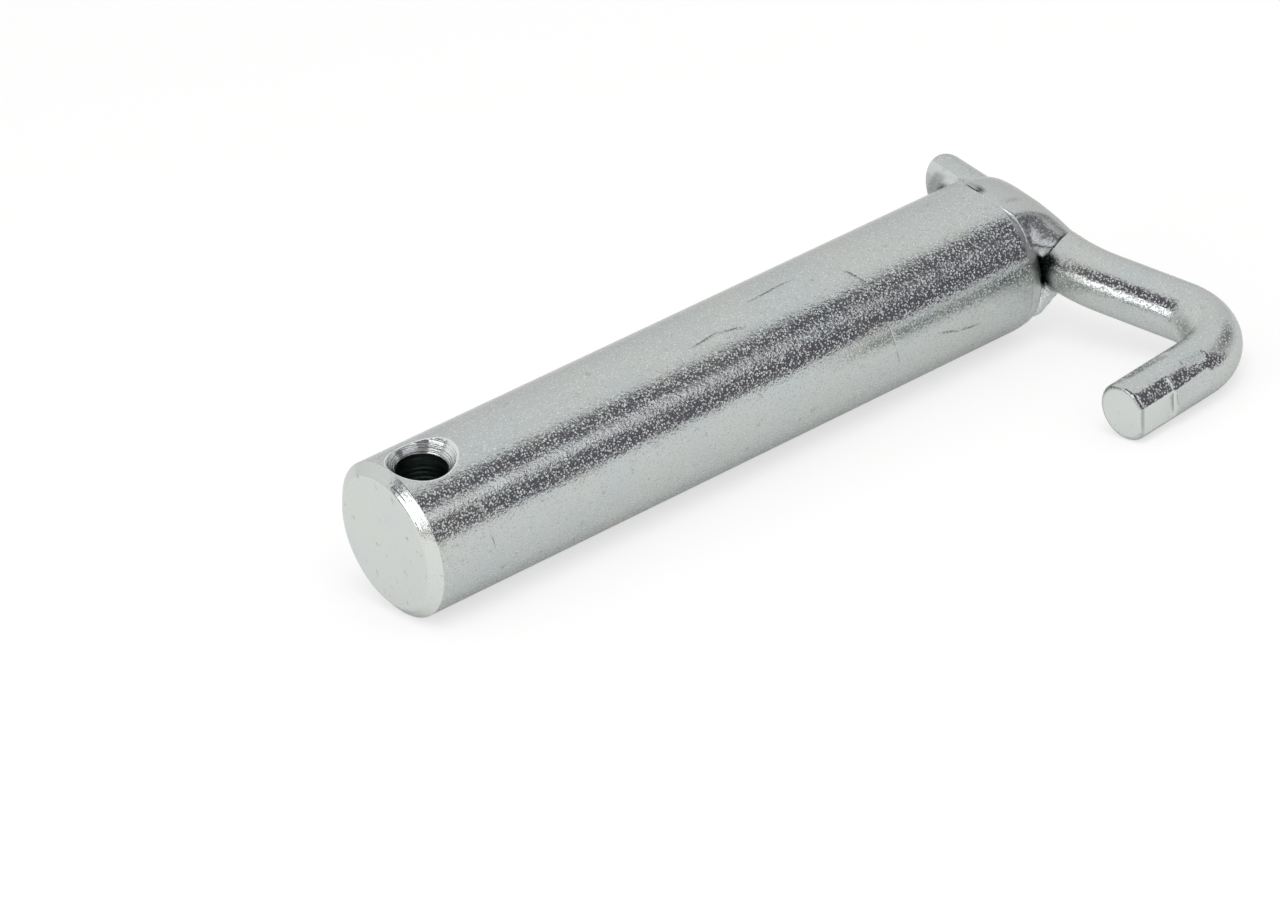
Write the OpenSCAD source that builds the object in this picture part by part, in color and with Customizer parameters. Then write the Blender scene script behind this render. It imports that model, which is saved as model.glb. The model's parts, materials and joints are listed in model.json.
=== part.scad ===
// Locking pin: a turned steel pin with a through cross hole near its free end,
// and a bent round handle rod welded across its head end.
// The pin lies at rest, its barrel and the tip of the handle touching the floor.
// Frame: the origin is where the cross hole's axis meets the pin's axis, +X runs along the pin
// to the free end, and +Z is up. The forms are drawn from the head end first, with the cross
// hole upright, and posed() then turns them to rest and moves them to the origin.

/* [Pin] */
// Diameter of the pin
pin_d = 16; // [12:0.5:22]
// Length of the pin, from end to end
pin_len = 76; // [50:1:120]
// How far the free end's chamfer reaches in from the barrel
tip_chamfer_in = 1.2; // [0.4:0.1:2]
// How far the free end's chamfer reaches along the barrel
tip_chamfer_along = 0.9; // [0.4:0.1:2]
// How far the barrel falls away where the head end was cropped, under the weld
head_fall = 0.05; // [0.02:0.01:0.2]

/* [Cross hole] */
// Diameter of the cross hole
hole_d = 5; // [3:0.1:6]
// Distance of the hole's axis from the free end
hole_from_tip = 4.6; // [4.4:0.1:20]
// Depth of the countersinks, below the crown of the barrel
sink_depth = 1.4; // [0.4:0.1:2]
// Angle between the two sides of a countersink
sink_angle = 76; // [60:1:100]

/* [Handle rod] */
// Diameter of the rod
rod_d = 6; // [4:0.5:7]
// How far the rod lies off the pin's axis, across the head end
rod_offset = 1.5; // [0:0.1:2]
// Length of the short end, from the pin's axis to its cut
stub_len = 9.9; // [9:0.1:14]
// Slant of the cut on the short end, from square
stub_slant = 35; // [0:1:40]
// Distance from the pin's axis to the gentle bend of the arm
arm_bend_at = 10.5; // [9:0.1:14]
// Inner length of the arm's reach, from the pin's axis to the leg's corner
arm_reach = 28.5; // [26:0.1:40]
// How far the arm leans away from the head end before its corner
arm_lean = 5; // [0:0.1:10]
// Radius of the arm's gentle bend, at the rod's centre line
arm_bend_r = 20; // [10:1:24]
// Radius of the leg's corner, at the rod's centre line
corner_r = 6.3; // [5:0.1:9]
// How far the leg's tip reaches along the pin, from the head end
leg_reach = 10; // [6:0.5:24]
// How far the leg spreads outward between its corner and its tip
leg_spread = 1.9; // [0:0.1:4]
// How much thinner the rod is drawn in its bends, all round
bend_draw = 0.02; // [0.01:0.01:0.1]
// Radius of the rolled edge on the leg's tip
tip_edge_r = 0.5; // [0.2:0.1:1]

/* [Welds] */
// Radius of the upper weld's run
upper_r = 3.5; // [3:0.1:3.8]
// Height of the upper weld's centre line above the rod's
upper_rise = 3.4; // [2.8:0.1:3.6]
// How far the upper weld's centre line lies in over the pin, from the head end
upper_in = 0.1; // [-0.6:0.1:0.6]
// Radius of the upper weld's toe, where it wraps the rim of the head end
upper_toe_r = 2.6; // [2.2:0.1:3]
// How far the upper weld stands proud of the barrel
upper_proud = 0.5; // [0.2:0.05:0.8]
// How far the upper weld runs toward the short end, from the pin's axis
upper_stub_side = 6.2; // [5:0.1:7]
// How far the upper weld runs toward the arm, from the pin's axis
upper_arm_side = 7.6; // [6.4:0.1:7.8]
// Radius of the lower weld's run
lower_r = 2.4; // [1.8:0.1:2.8]
// Depth of the lower weld's centre line below the rod's
lower_drop = 4.4; // [3.6:0.1:5]
// How far the lower weld's centre line lies behind the head end
lower_out = 0.9; // [0.4:0.1:1.6]
// How far the lower weld runs toward the short end, from the pin's axis
lower_stub_side = 6.2; // [5:0.1:7]
// How far the lower weld runs toward the arm, from the pin's axis
lower_arm_side = 7.2; // [6:0.1:7.5]
// Open crevice between the two welds, above the line where the rod touches the pin
crevice_up = 1.7; // [1:0.1:2]
// Open crevice between the two welds, below that line
crevice_down = 1.9; // [1:0.1:2.2]

/* [Quality] */
// Faces around a full circle
round_fn = 72; // [36:4:120]

/* [Hidden] */
eps = 0.01;
pin_r = pin_d / 2;
// How far a straight run of rod reaches into a bend
bend_lap = 0.1;
hole_r = hole_d / 2;
rod_r = rod_d / 2;
// Centre line of the upper weld's toe, from the pin's axis
toe_reach = pin_r + upper_proud - upper_toe_r;
// How far the toe laps along the barrel, and where the barrel reaches its full size past it
toe_lap = sqrt(pow(upper_toe_r, 2) - pow(pin_r - head_fall - toe_reach, 2));
head_fall_along = toe_lap + 0.2;
// The rod touches the head end, so its centre line lies its own radius behind it
rod_x = -rod_r;
hole_x = pin_len - hole_from_tip;
// The rod's centre line, in the plane that holds the pin's direction
stub_end = [rod_x, -(stub_len + rod_d)];
arm_bend = [rod_x, arm_bend_at];
leg_corner = [rod_x - arm_lean, arm_reach];
leg_tip = [leg_reach, arm_reach + leg_spread];
// Roll about the pin's axis that brings the leg's tip down onto the floor
rest_roll = asin((pin_r - rod_r) / norm([leg_tip[1], rod_offset])) + atan2(rod_offset, leg_tip[1]);

function heading(p, q) = (q - p) / norm(q - p);
function turn_angle(p, q, s) = atan2(cross(heading(p, q), heading(q, s)), heading(p, q) * heading(q, s));
function setback(p, q, s, r) = r * tan(abs(turn_angle(p, q, s)) / 2);
// Half outline of a run of weld along its own line: full in the middle, rounded off at both ends
function bead_outline(half, r) = [for (i = [0:10:180]) let (t = -cos(i)) [r * sqrt(1 - pow(abs(t), 3)), half * t]];

// Straight run of rod from p to q, run on past each end into the bend there
module rod_straight(p, q, before, after) {
    translate([p[0], p[1], 0])
        rotate([0, 0, atan2(q[1] - p[1], q[0] - p[0])])
            rotate([0, 90, 0])
                translate([0, 0, -before])
                    cylinder(h = norm(q - p) + before + after, r = rod_r, $fn = round_fn);
}

// Last run of the rod from p to its rolled end at q
module rod_end_run(p, q, before) {
    length = norm(q - p);
    translate([p[0], p[1], 0])
        rotate([0, 0, atan2(q[1] - p[1], q[0] - p[0])])
            rotate([0, 90, 0])
                rotate_extrude($fn = round_fn)
                    polygon(concat(
                        [[0, -before], [rod_r, -before]],
                        [for (a = [0:15:90]) [
                            rod_r - tip_edge_r * (1 - cos(a)),
                            length - tip_edge_r * (1 - sin(a))
                        ]],
                        [[0, length]]
                    ));
}

// Bend of the rod at q, on its way from p to s
module rod_bend(p, q, s, r) {
    a = turn_angle(p, q, s);
    u = heading(p, q);
    start = q - u * setback(p, q, s, r);
    centre = start + sign(a) * r * [-u[1], u[0]];
    from = atan2(start[1] - centre[1], start[0] - centre[0]);
    translate([centre[0], centre[1], 0])
        rotate([0, 0, min(from, from + a)])
            rotate_extrude(angle = abs(a), $fn = round_fn)
                translate([r, 0])
                    circle(r = rod_r - bend_draw, $fn = round_fn);
}

// Everything past the slanted cut of the short end
module stub_cut() {
    translate([rod_x, -stub_len, 0])
        rotate([stub_slant, 0, 0])
            translate([-rod_d, -3 * rod_d, -3 * rod_d])
                cube([2 * rod_d, 3 * rod_d, 6 * rod_d]);
}

module rod_form() {
    back_1 = setback(stub_end, arm_bend, leg_corner, arm_bend_r);
    back_2 = setback(arm_bend, leg_corner, leg_tip, corner_r);
    u_1 = heading(stub_end, arm_bend);
    u_2 = heading(arm_bend, leg_corner);
    u_3 = heading(leg_corner, leg_tip);
    translate([0, 0, rod_offset])
        difference() {
            union() {
                rod_straight(stub_end, arm_bend - u_1 * back_1, 0, bend_lap);
                rod_bend(stub_end, arm_bend, leg_corner, arm_bend_r);
                rod_straight(arm_bend + u_2 * back_1, leg_corner - u_2 * back_2, bend_lap, bend_lap);
                rod_bend(arm_bend, leg_corner, leg_tip, corner_r);
                rod_end_run(leg_corner + u_3 * back_2, leg_tip, bend_lap);
            }
            stub_cut();
        }
}

// Turned bar of the pin, without its cross hole
module bar_form() {
    rotate([0, 90, 0])
        rotate_extrude($fn = round_fn)
            polygon([
                [0, 0],
                [pin_r - head_fall, 0],
                [pin_r, head_fall_along],
                [pin_r, pin_len - tip_chamfer_along],
                [pin_r - tip_chamfer_in, pin_len],
                [0, pin_len]
            ]);
}

// Countersink at the top of the cross hole, open above the barrel
module countersink() {
    rise = sink_depth + hole_r;
    translate([0, 0, pin_r - sink_depth])
        cylinder(h = rise, r1 = hole_r, r2 = hole_r + rise * tan(sink_angle / 2), $fn = round_fn);
}

module cross_hole() {
    translate([hole_x, 0, 0]) {
        cylinder(h = 2 * pin_r + 2, r = hole_r, center = true, $fn = round_fn);
        countersink();
        mirror([0, 0, 1]) countersink();
    }
}

// Run of weld along the rod, from y = a to y = b
module bead(a, b, r) {
    translate([0, (a + b) / 2, 0])
        rotate([-90, 0, 0])
            rotate_extrude($fn = round_fn)
                polygon(bead_outline((b - a) / 2, r));
}

// Everything that lies inside the upper weld's toe, round the pin's axis
module toe_limit() {
    rotate([0, 90, 0])
        rotate_extrude($fn = round_fn)
            polygon(concat(
                [[0, -2 * rod_d], [toe_reach + upper_toe_r, -2 * rod_d]],
                [for (a = [0:7.5:90]) [toe_reach + upper_toe_r * cos(a), upper_toe_r * sin(a)]],
                [[0, upper_toe_r]]
            ));
}

module upper_bead() {
    intersection() {
        translate([upper_in, 0, rod_offset + upper_rise])
            bead(-upper_stub_side, upper_arm_side, upper_r);
        toe_limit();
    }
}

module lower_bead() {
    translate([-lower_out, 0, rod_offset - lower_drop])
        bead(-lower_stub_side, lower_arm_side, lower_r);
}

// What the pin, the rod and the open crevice leave of a weld
module seated_weld() {
    difference() {
        union() children();
        bar_form();
        rod_form();
        translate([-rod_d, -pin_r, rod_offset - crevice_down])
            cube([rod_d + eps, 2 * pin_r, crevice_up + crevice_down]);
    }
}

// Turns a form to rest on the floor and moves the cross hole to the origin
module posed() {
    translate([-hole_x, 0, 0])
        rotate([-rest_roll, 0, 0])
            children();
}

module shank() {
    color("#c4cac6")
        posed()
            difference() {
                bar_form();
                cross_hole();
            }
}

module handle_rod() {
    color("#b3bab8")
        posed() rod_form();
}

module upper_weld() {
    color("#abb0b0")
        posed() seated_weld() upper_bead();
}

module lower_weld() {
    color("#abb0b0")
        posed() seated_weld() lower_bead();
}

shank();
handle_rod();
upper_weld();
lower_weld();
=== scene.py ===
"""Locking pin: a turned bar with a countersunk cross hole, and a bent rod welded to its head end."""

import json
import math

import bmesh
import bpy
import numpy as np
from bpy.props import FloatProperty, FloatVectorProperty, PointerProperty
from mathutils import Matrix, Vector, noise


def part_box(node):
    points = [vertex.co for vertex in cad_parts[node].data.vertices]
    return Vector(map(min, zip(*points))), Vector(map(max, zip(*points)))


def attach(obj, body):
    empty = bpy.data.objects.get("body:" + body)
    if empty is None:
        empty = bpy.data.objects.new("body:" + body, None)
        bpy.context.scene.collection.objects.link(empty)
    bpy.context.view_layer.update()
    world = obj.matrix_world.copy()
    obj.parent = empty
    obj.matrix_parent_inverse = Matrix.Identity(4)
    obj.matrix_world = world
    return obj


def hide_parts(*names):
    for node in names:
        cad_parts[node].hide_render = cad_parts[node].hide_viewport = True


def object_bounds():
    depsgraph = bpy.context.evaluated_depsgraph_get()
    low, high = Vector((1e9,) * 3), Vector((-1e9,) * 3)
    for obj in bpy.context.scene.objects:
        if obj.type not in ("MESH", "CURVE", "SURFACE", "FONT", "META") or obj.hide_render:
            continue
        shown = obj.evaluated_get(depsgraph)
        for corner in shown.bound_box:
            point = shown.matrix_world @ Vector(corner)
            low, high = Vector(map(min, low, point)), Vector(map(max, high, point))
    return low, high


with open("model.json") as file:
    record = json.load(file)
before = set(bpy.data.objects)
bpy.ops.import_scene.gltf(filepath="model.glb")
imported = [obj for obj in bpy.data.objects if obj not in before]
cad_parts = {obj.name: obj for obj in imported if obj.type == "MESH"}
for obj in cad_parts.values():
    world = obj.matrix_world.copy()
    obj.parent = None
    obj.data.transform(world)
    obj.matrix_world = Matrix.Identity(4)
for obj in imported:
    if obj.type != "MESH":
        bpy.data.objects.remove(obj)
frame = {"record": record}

bl_info = {
    "name": "Locking pin",
    "version": (1, 0, 0),
    "blender": (4, 5, 0),
    "location": "3D View > Sidebar > Locking pin",
    "description": "Builds a zinc-plated locking pin with a welded hook handle",
    "category": "Object",
}

MM = 0.001
CAD_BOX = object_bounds()
MOUNTS = {m["name"]: m for m in frame["record"]["mounts"]}
HOLE_AXIS = MOUNTS["cross_hole"]["axis"]
BAR_LOW, BAR_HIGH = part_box("shank")

# The pieces are drawn on the bench: head face at x = 0, pin along +X, hook towards +Y, cross hole along Z.
# REST then rolls them until the hook's tip is down, and puts the cross hole at the origin.
ROLL = math.atan2(HOLE_AXIS[1], HOLE_AXIS[2])
REST = Matrix.Translation((BAR_LOW.x, 0, 0)) @ Matrix.Rotation(-ROLL, 4, "X")
FLOOR_LEVEL = CAD_BOX[0].z


def length_prop(name, description, millimetres):
    return FloatProperty(
        name=name,
        description=description,
        default=millimetres * MM,
        unit="LENGTH",
        subtype="DISTANCE",
        precision=5,
    )


def angle_prop(name, description, degrees):
    return FloatProperty(
        name=name, description=description, default=math.radians(degrees), unit="ROTATION", subtype="ANGLE"
    )


def linear(hex_colour):
    """Linear red, green and blue of an sRGB hex colour"""
    parts = [int(hex_colour[i : i + 2], 16) / 255 for i in (0, 2, 4)]
    return tuple(p / 12.92 if p <= 0.04045 else ((p + 0.055) / 1.055) ** 2.4 for p in parts)


def colour_prop(name, description, hex_colour):
    return FloatVectorProperty(
        name=name, description=description, default=linear(hex_colour), subtype="COLOR", min=0, max=1
    )


class BarSizes(bpy.types.PropertyGroup):
    """Sizes of the turned bar"""

    radius: length_prop("Radius", "Radius of the barrel", MOUNTS["shank"]["dims"]["r_mm"])
    length: length_prop("Length", "Head face to free face", (BAR_HIGH.x - BAR_LOW.x) / MM)
    chamfer_in: length_prop("Chamfer depth", "How far the tip chamfer goes in from the barrel", 1.2)
    chamfer_along: length_prop("Chamfer length", "Length of the tip chamfer along the bar", 0.9)
    head_edge: length_prop("Head edge", "Rounding of the head end's rim", 0.7)
    edge_roll: length_prop("Edge roll", "Softening of the turned edges", 0.16)
    hole_radius: length_prop("Hole radius", "Cross hole's radius", MOUNTS["cross_hole"]["dims"]["r_mm"])
    hole_from_tip: length_prop("Hole place", "Cross hole's axis to the free face", BAR_HIGH.x / MM)
    rim_along: length_prop("Rim taper length", "How far the head end's rim tapers", 1.7)
    rim_in: length_prop("Rim taper depth", "How much the head end's rim falls in", 0.24)
    sink_depth: length_prop("Countersink depth", "Depth of the countersinks", 1.4)
    sink_angle: angle_prop("Countersink angle", "Full angle of the countersinks", 76)
    ridge_pitch: length_prop("Drill ridge pitch", "Spacing of the drill's ridges in the hole", 0.55)
    ridge_depth: length_prop("Drill ridge depth", "Half height of the drill's ridges", 0.035)


class RodSizes(bpy.types.PropertyGroup):
    """Sizes of the bent rod"""

    radius: length_prop("Radius", "Radius of the rod", 3)
    offset: length_prop("Offset", "Height of the rod's centre line above the bar's axis", 1.5)
    stub: length_prop("Stub", "Bar's axis to the cut of the short end", 9.9)
    stub_slant: angle_prop("Stub slant", "Slant of the short end's cut", 35)
    arm_bend_at: length_prop("Arm bend", "Bar's axis to the gentle bend", 10.5)
    arm_bend_radius: length_prop("Arm bend radius", "Radius of the gentle bend", 20)
    arm_lean: length_prop("Arm lean", "How far the arm leans back", 5)
    arm_reach: length_prop("Arm reach", "Bar's axis to the hook's corner", 28.5)
    corner_radius: length_prop("Corner radius", "Radius of the hook's corner", 6.3)
    leg_reach: length_prop("Leg reach", "Head face to the tip of the leg", 10)
    leg_spread: length_prop("Leg spread", "How far the leg spreads outward", 1.9)
    stub_edge: length_prop("Stub edge", "Rounding of the cut's rim", 0.35)
    tip_edge: length_prop("Tip edge", "Rounding of the leg's end", 0.5)


class FinishColours(bpy.types.PropertyGroup):
    """Colours of the finishes"""

    zinc: colour_prop("Zinc", "Clear passivated zinc", "bdc1c0")
    zinc_cool: colour_prop("Zinc, cool", "Bluish and purplish shade of the passivation", "bac0c0")
    zinc_warm: colour_prop("Zinc, warm", "Yellowish and greenish shade of the passivation", "bfc2be")
    # The faced and machined colours are the zinc painted lighter, a painted highlight. The cut surfaces' own
    # sheen comes from their roughness
    painted_light_faced: colour_prop("Faced ends", "Brighter zinc on the cut and faced ends", "d0d4d1")
    painted_light_faced_cool: colour_prop("Faced ends, cool", "Bluish shade on the ends", "cdd2d1")
    painted_light_faced_warm: colour_prop("Faced ends, warm", "Yellowish shade on the ends", "d1d4cf")
    painted_light_machined: colour_prop("Machined", "Bright zinc in the countersink", "dfe3e1")
    painted_light_machined_cool: colour_prop("Machined, cool", "Bluish shade there", "dbe1e2")
    painted_light_machined_warm: colour_prop("Machined, warm", "Yellowish shade there", "e1e4de")
    # The film colour is painted shade, laid on by the mesh attribute that marks it
    film: colour_prop("Film", "Dark film in the crevice by the head face and on the welds", "1c2423")
    bore: colour_prop("Drilled bore", "Thin dark film where the plating hardly reaches", "a4b4ae")
    frost: colour_prop("Frost", "Matt side of the zinc crystals", "b9bebc")
    dirt: colour_prop("Dirt", "Specks of dirt on the zinc and in the drilled bore", "55575a")
    floor: colour_prop("Floor", "Pale table", "f4f4f3")
    room: colour_prop("Room", "Dim room in front of the pin, as the metal mirrors it", "6e6971")


class StageSizes(bpy.types.PropertyGroup):
    """Where the camera stands, what it aims at and its lens"""

    camera_azimuth: angle_prop("Camera azimuth", "Direction of the camera round the pin", 146.24)
    camera_elevation: angle_prop("Camera elevation", "Height angle of the camera", 26.0)
    camera_roll: angle_prop("Camera roll", "Tilt of the camera from level", 9.39)
    camera_away: length_prop("Camera distance", "Distance of the camera from the point it aims at", 600)
    aim: FloatVectorProperty(
        name="Aim",
        description="Point that the camera aims at",
        default=(-0.017246, 0.012546, 0.004458),
        unit="LENGTH",
        subtype="TRANSLATION",
        precision=5,
    )
    lens: FloatProperty(name="Lens", description="Focal length in millimetres", default=179.15)


def tool_props(name):
    return getattr(bpy.context.scene, "locking_pin_" + name)


# Names of the mesh attributes that the finishes read: strength of the painted shade, laid on in the dark
# film colour, how far along its cut in mm a turned or countersunk face lies, and the place on the unrolled
# barrel in mm
PAINTED_SHADE = "painted_shade"
TOOL_RUN = "tool_run"
MARK_PLACE = "mark_place"


def rise(value, low, high):
    """0 below low, 1 above high, smooth in between; falls instead where low is above high"""
    t = min(1, max(0, (value - low) / (high - low)))
    return t * t * (3 - 2 * t)


def crevice_painted_shade(x, y, z):
    """Painted shade in the open crevice between the head face and the rod, from bench millimetres"""
    near = rise(x, -1.3, -0.4)
    return near * rise(z, -0.3, 0.3) * rise(z, 4.2, 3.3) * rise(abs(y), 9.6, 8.2)


class Skin:
    """Points and faces of one closed piece while it is drawn"""

    def __init__(self):
        self.points = []
        self.faces = []
        self.finishes = []
        self.tool_runs = {}

    def ring(self, points):
        start = len(self.points)
        self.points.extend(tuple(p) for p in points)
        return list(range(start, len(self.points)))

    def face(self, corners, finish=0):
        self.faces.append(tuple(corners))
        self.finishes.append(finish)

    def bridge(self, one, two, finish=0):
        for i in range(len(one)):
            j = (i + 1) % len(one)
            self.face((one[i], one[j], two[j], two[i]), finish)

    def fan(self, rim, centre, finish=0):
        middle = self.ring([centre])[0]
        for i in range(len(rim)):
            self.face((rim[i], rim[(i + 1) % len(rim)], middle), finish)

    def piece(self, name, finishes, node, painted_shade, mark_place=None):
        """Makes the mesh at rest, smooth all over, with its finishes, and lets it stand for the CAD node.
        The third argument gives how strong the painted shade is at a point, from 0 to 1, and mark_place its
        place among the scratches"""
        mesh = bpy.data.meshes.new(name)
        mesh.from_pydata(self.points, [], self.faces)
        for finish in finishes:
            mesh.materials.append(finish)
        mesh.polygons.foreach_set("material_index", self.finishes)
        # Painted shade, from 0 to 1, which the finishes darken towards the film colour
        film = mesh.attributes.new(PAINTED_SHADE, "FLOAT", "POINT")
        film.data.foreach_set("value", [painted_shade(*(c / MM for c in p)) for p in self.points])
        tool = mesh.attributes.new(TOOL_RUN, "FLOAT", "POINT")
        tool.data.foreach_set("value", [self.tool_runs.get(i, 0.0) for i in range(len(self.points))])
        if mark_place:
            places = mesh.attributes.new(MARK_PLACE, "FLOAT_VECTOR", "POINT")
            flat = [v for p in self.points for v in mark_place(*(c / MM for c in p))]
            places.data.foreach_set("vector", flat)
        work = bmesh.new()
        work.from_mesh(mesh)
        bmesh.ops.recalc_face_normals(work, faces=work.faces)
        work.to_mesh(mesh)
        work.free()
        mesh.transform(REST)
        mesh.shade_smooth()
        obj = bpy.data.objects.new(name, mesh)
        bpy.context.scene.collection.objects.link(obj)
        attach(obj, "root")
        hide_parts(node)


def curve_corner(before, corner, after, steps):
    """Points of a rounded corner, from before to after, as a quadratic curve"""
    before, corner, after = (np.array(p, float) for p in (before, corner, after))
    return [
        (1 - t) ** 2 * before + 2 * t * (1 - t) * corner + t * t * after
        for t in np.linspace(0, 1, steps + 1)
    ]


# Columns round the barrel, and the one that lies over the cross hole
BAR_COLUMNS = 192
TOP_COLUMN = BAR_COLUMNS // 4

# Patch of the barrel round each mouth of the cross hole: columns each side of the hole, rows along it, how
# far before the hole's axis it starts and how far before the chamfer it ends. LEAD places its rings from
# the patch's border to the countersink, as shares of the way.
PATCH_HALF = 16
PATCH_ROWS = 32
PATCH_BEFORE = 4.4 * MM
PATCH_GAP = 0.055 * MM
LEAD = (0.8, 0.55, 0.32, 0.14, 0.03)

# Rolls of the countersink's mouth and foot, and its cut's run for each mm of height. SHARP is no roll.
MOUTH_ROLL = 0.12 * MM
FOOT_ROLL = 0.14 * MM
SINK_RUN = 1.3
SHARP = 1e-7

# Rows of the barrel: how many roll its head rim and how many taper it, where the plain ones start, and how
# far apart they are. Then the rings of its end faces by radius.
RIM_ROWS = 9
TAPER_ROWS = 9
BARREL_FROM = 2.4 * MM
BARREL_STEP = 0.8 * MM
FACE_RINGS = (0.985, 0.9, 0.7, 0.45, 0.2)

# Turn from +Y in radians between which the barrel is scratched, and the third coordinate that keeps the
# rest of it clear of the scratches
SCRATCHED_FROM, SCRATCHED_TO = -1, 2.4
SCRATCH_FREE = 10

# Smallest difference in a place or an angle that counts
TINY = 1e-6


def rim_fall(bar, x):
    """How far the barrel falls in at one distance from the head face, more steeply towards its rim"""
    t = max(0, 1 - x / bar.rim_along)
    return bar.rim_in * t * (0.6 + 0.4 * t)


def barrel_place(x, y, z):
    """Place on the unrolled barrel in mm, along it and round it, and 0 on the scratched side"""
    turn = math.atan2(z, y)
    scratched_side = SCRATCHED_FROM < turn < SCRATCHED_TO
    return x, turn * tool_props("bar").radius / MM, 0 if scratched_side else SCRATCH_FREE


def bar_profile(bar):
    """Rows (x, radius) from head rim to free face, and the first and last row of the hole's patch"""
    rim = bar.radius - rim_fall(bar, bar.head_edge)
    rows = [
        (bar.head_edge * (1 - math.cos(a)), rim - bar.head_edge * (1 - math.sin(a)))
        for a in np.linspace(0, math.pi / 2, RIM_ROWS)
    ]
    for x in np.linspace(bar.head_edge, bar.rim_along + 0.1 * MM, TAPER_ROWS)[1:]:
        rows.append((x, bar.radius - rim_fall(bar, x)))
    hole_x = bar.length - bar.hole_from_tip
    patch_from = hole_x - PATCH_BEFORE
    chamfer_x = bar.length - bar.chamfer_along
    patch_to = chamfer_x - PATCH_GAP
    for x in np.arange(BARREL_FROM, patch_from - 0.3 * MM, BARREL_STEP):
        rows.append((x, bar.radius))
    first = len(rows)
    for x in np.linspace(patch_from, patch_to, PATCH_ROWS + 1):
        rows.append((x, bar.radius))
    last = len(rows) - 1
    slope = np.array((bar.chamfer_along, -bar.chamfer_in))
    slope /= np.linalg.norm(slope)
    start = np.array((chamfer_x, bar.radius))
    end = np.array((bar.length, bar.radius - bar.chamfer_in))
    lip = 0.05 * MM
    rows += [tuple(p) for p in curve_corner(start - (lip, 0), start, start + slope * 2 * lip, 4)]
    rows += [tuple(start + (end - start) * t) for t in (0.12, 0.3, 0.5, 0.7, 0.85)]
    roll = bar.edge_roll
    rows += [tuple(p) for p in curve_corner(end - slope * roll, end, end - (0, roll), 5)]
    return rows, first, last


def barrel_height(bar, distance, angle):
    """Height of the barrel's surface at one distance from the cross hole's axis and one angle round it"""
    return math.sqrt(bar.radius**2 - (distance * math.sin(angle)) ** 2)


def hole_profile(bar, angle, edge):
    """Half section of the cross hole at one angle round it: (distance from its axis, height) from the
    barrel down to the bore, with the mouth's edge and the foot of the countersink rolled"""
    lean = math.tan(bar.sink_angle / 2)
    foot = bar.radius - bar.sink_depth

    def barrel(distance):
        return barrel_height(bar, distance, angle)

    # The mouth lies where the countersink's cone meets the barrel, found by halving
    low, high = bar.hole_radius, bar.hole_radius * 2
    for _ in range(40):
        middle = (low + high) / 2
        if foot + (middle - bar.hole_radius) / lean < barrel(middle):
            low = middle
        else:
            high = middle
    mouth = (low, barrel(low))
    inner = low - edge * math.sin(bar.sink_angle / 2)
    outside = (low + edge, barrel(low + edge))
    inside = (inner, foot + (inner - bar.hole_radius) / lean)
    section = curve_corner(outside, mouth, inside, 5)
    wall_top = (bar.hole_radius + FOOT_ROLL * lean, foot + FOOT_ROLL)
    for t in (0.12, 0.5, 0.88):
        section.append(np.array(inside) * (1 - t) + np.array(wall_top) * t)
    section += curve_corner(wall_top, (bar.hole_radius, foot), (bar.hole_radius, foot - FOOT_ROLL), 4)
    return section


# Places of the finishes in the bar's list: barrel, bore, end faces and head rim, chamfer, countersinks
PLATED, BORED, FACED, MACHINED, SUNK = range(5)


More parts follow.
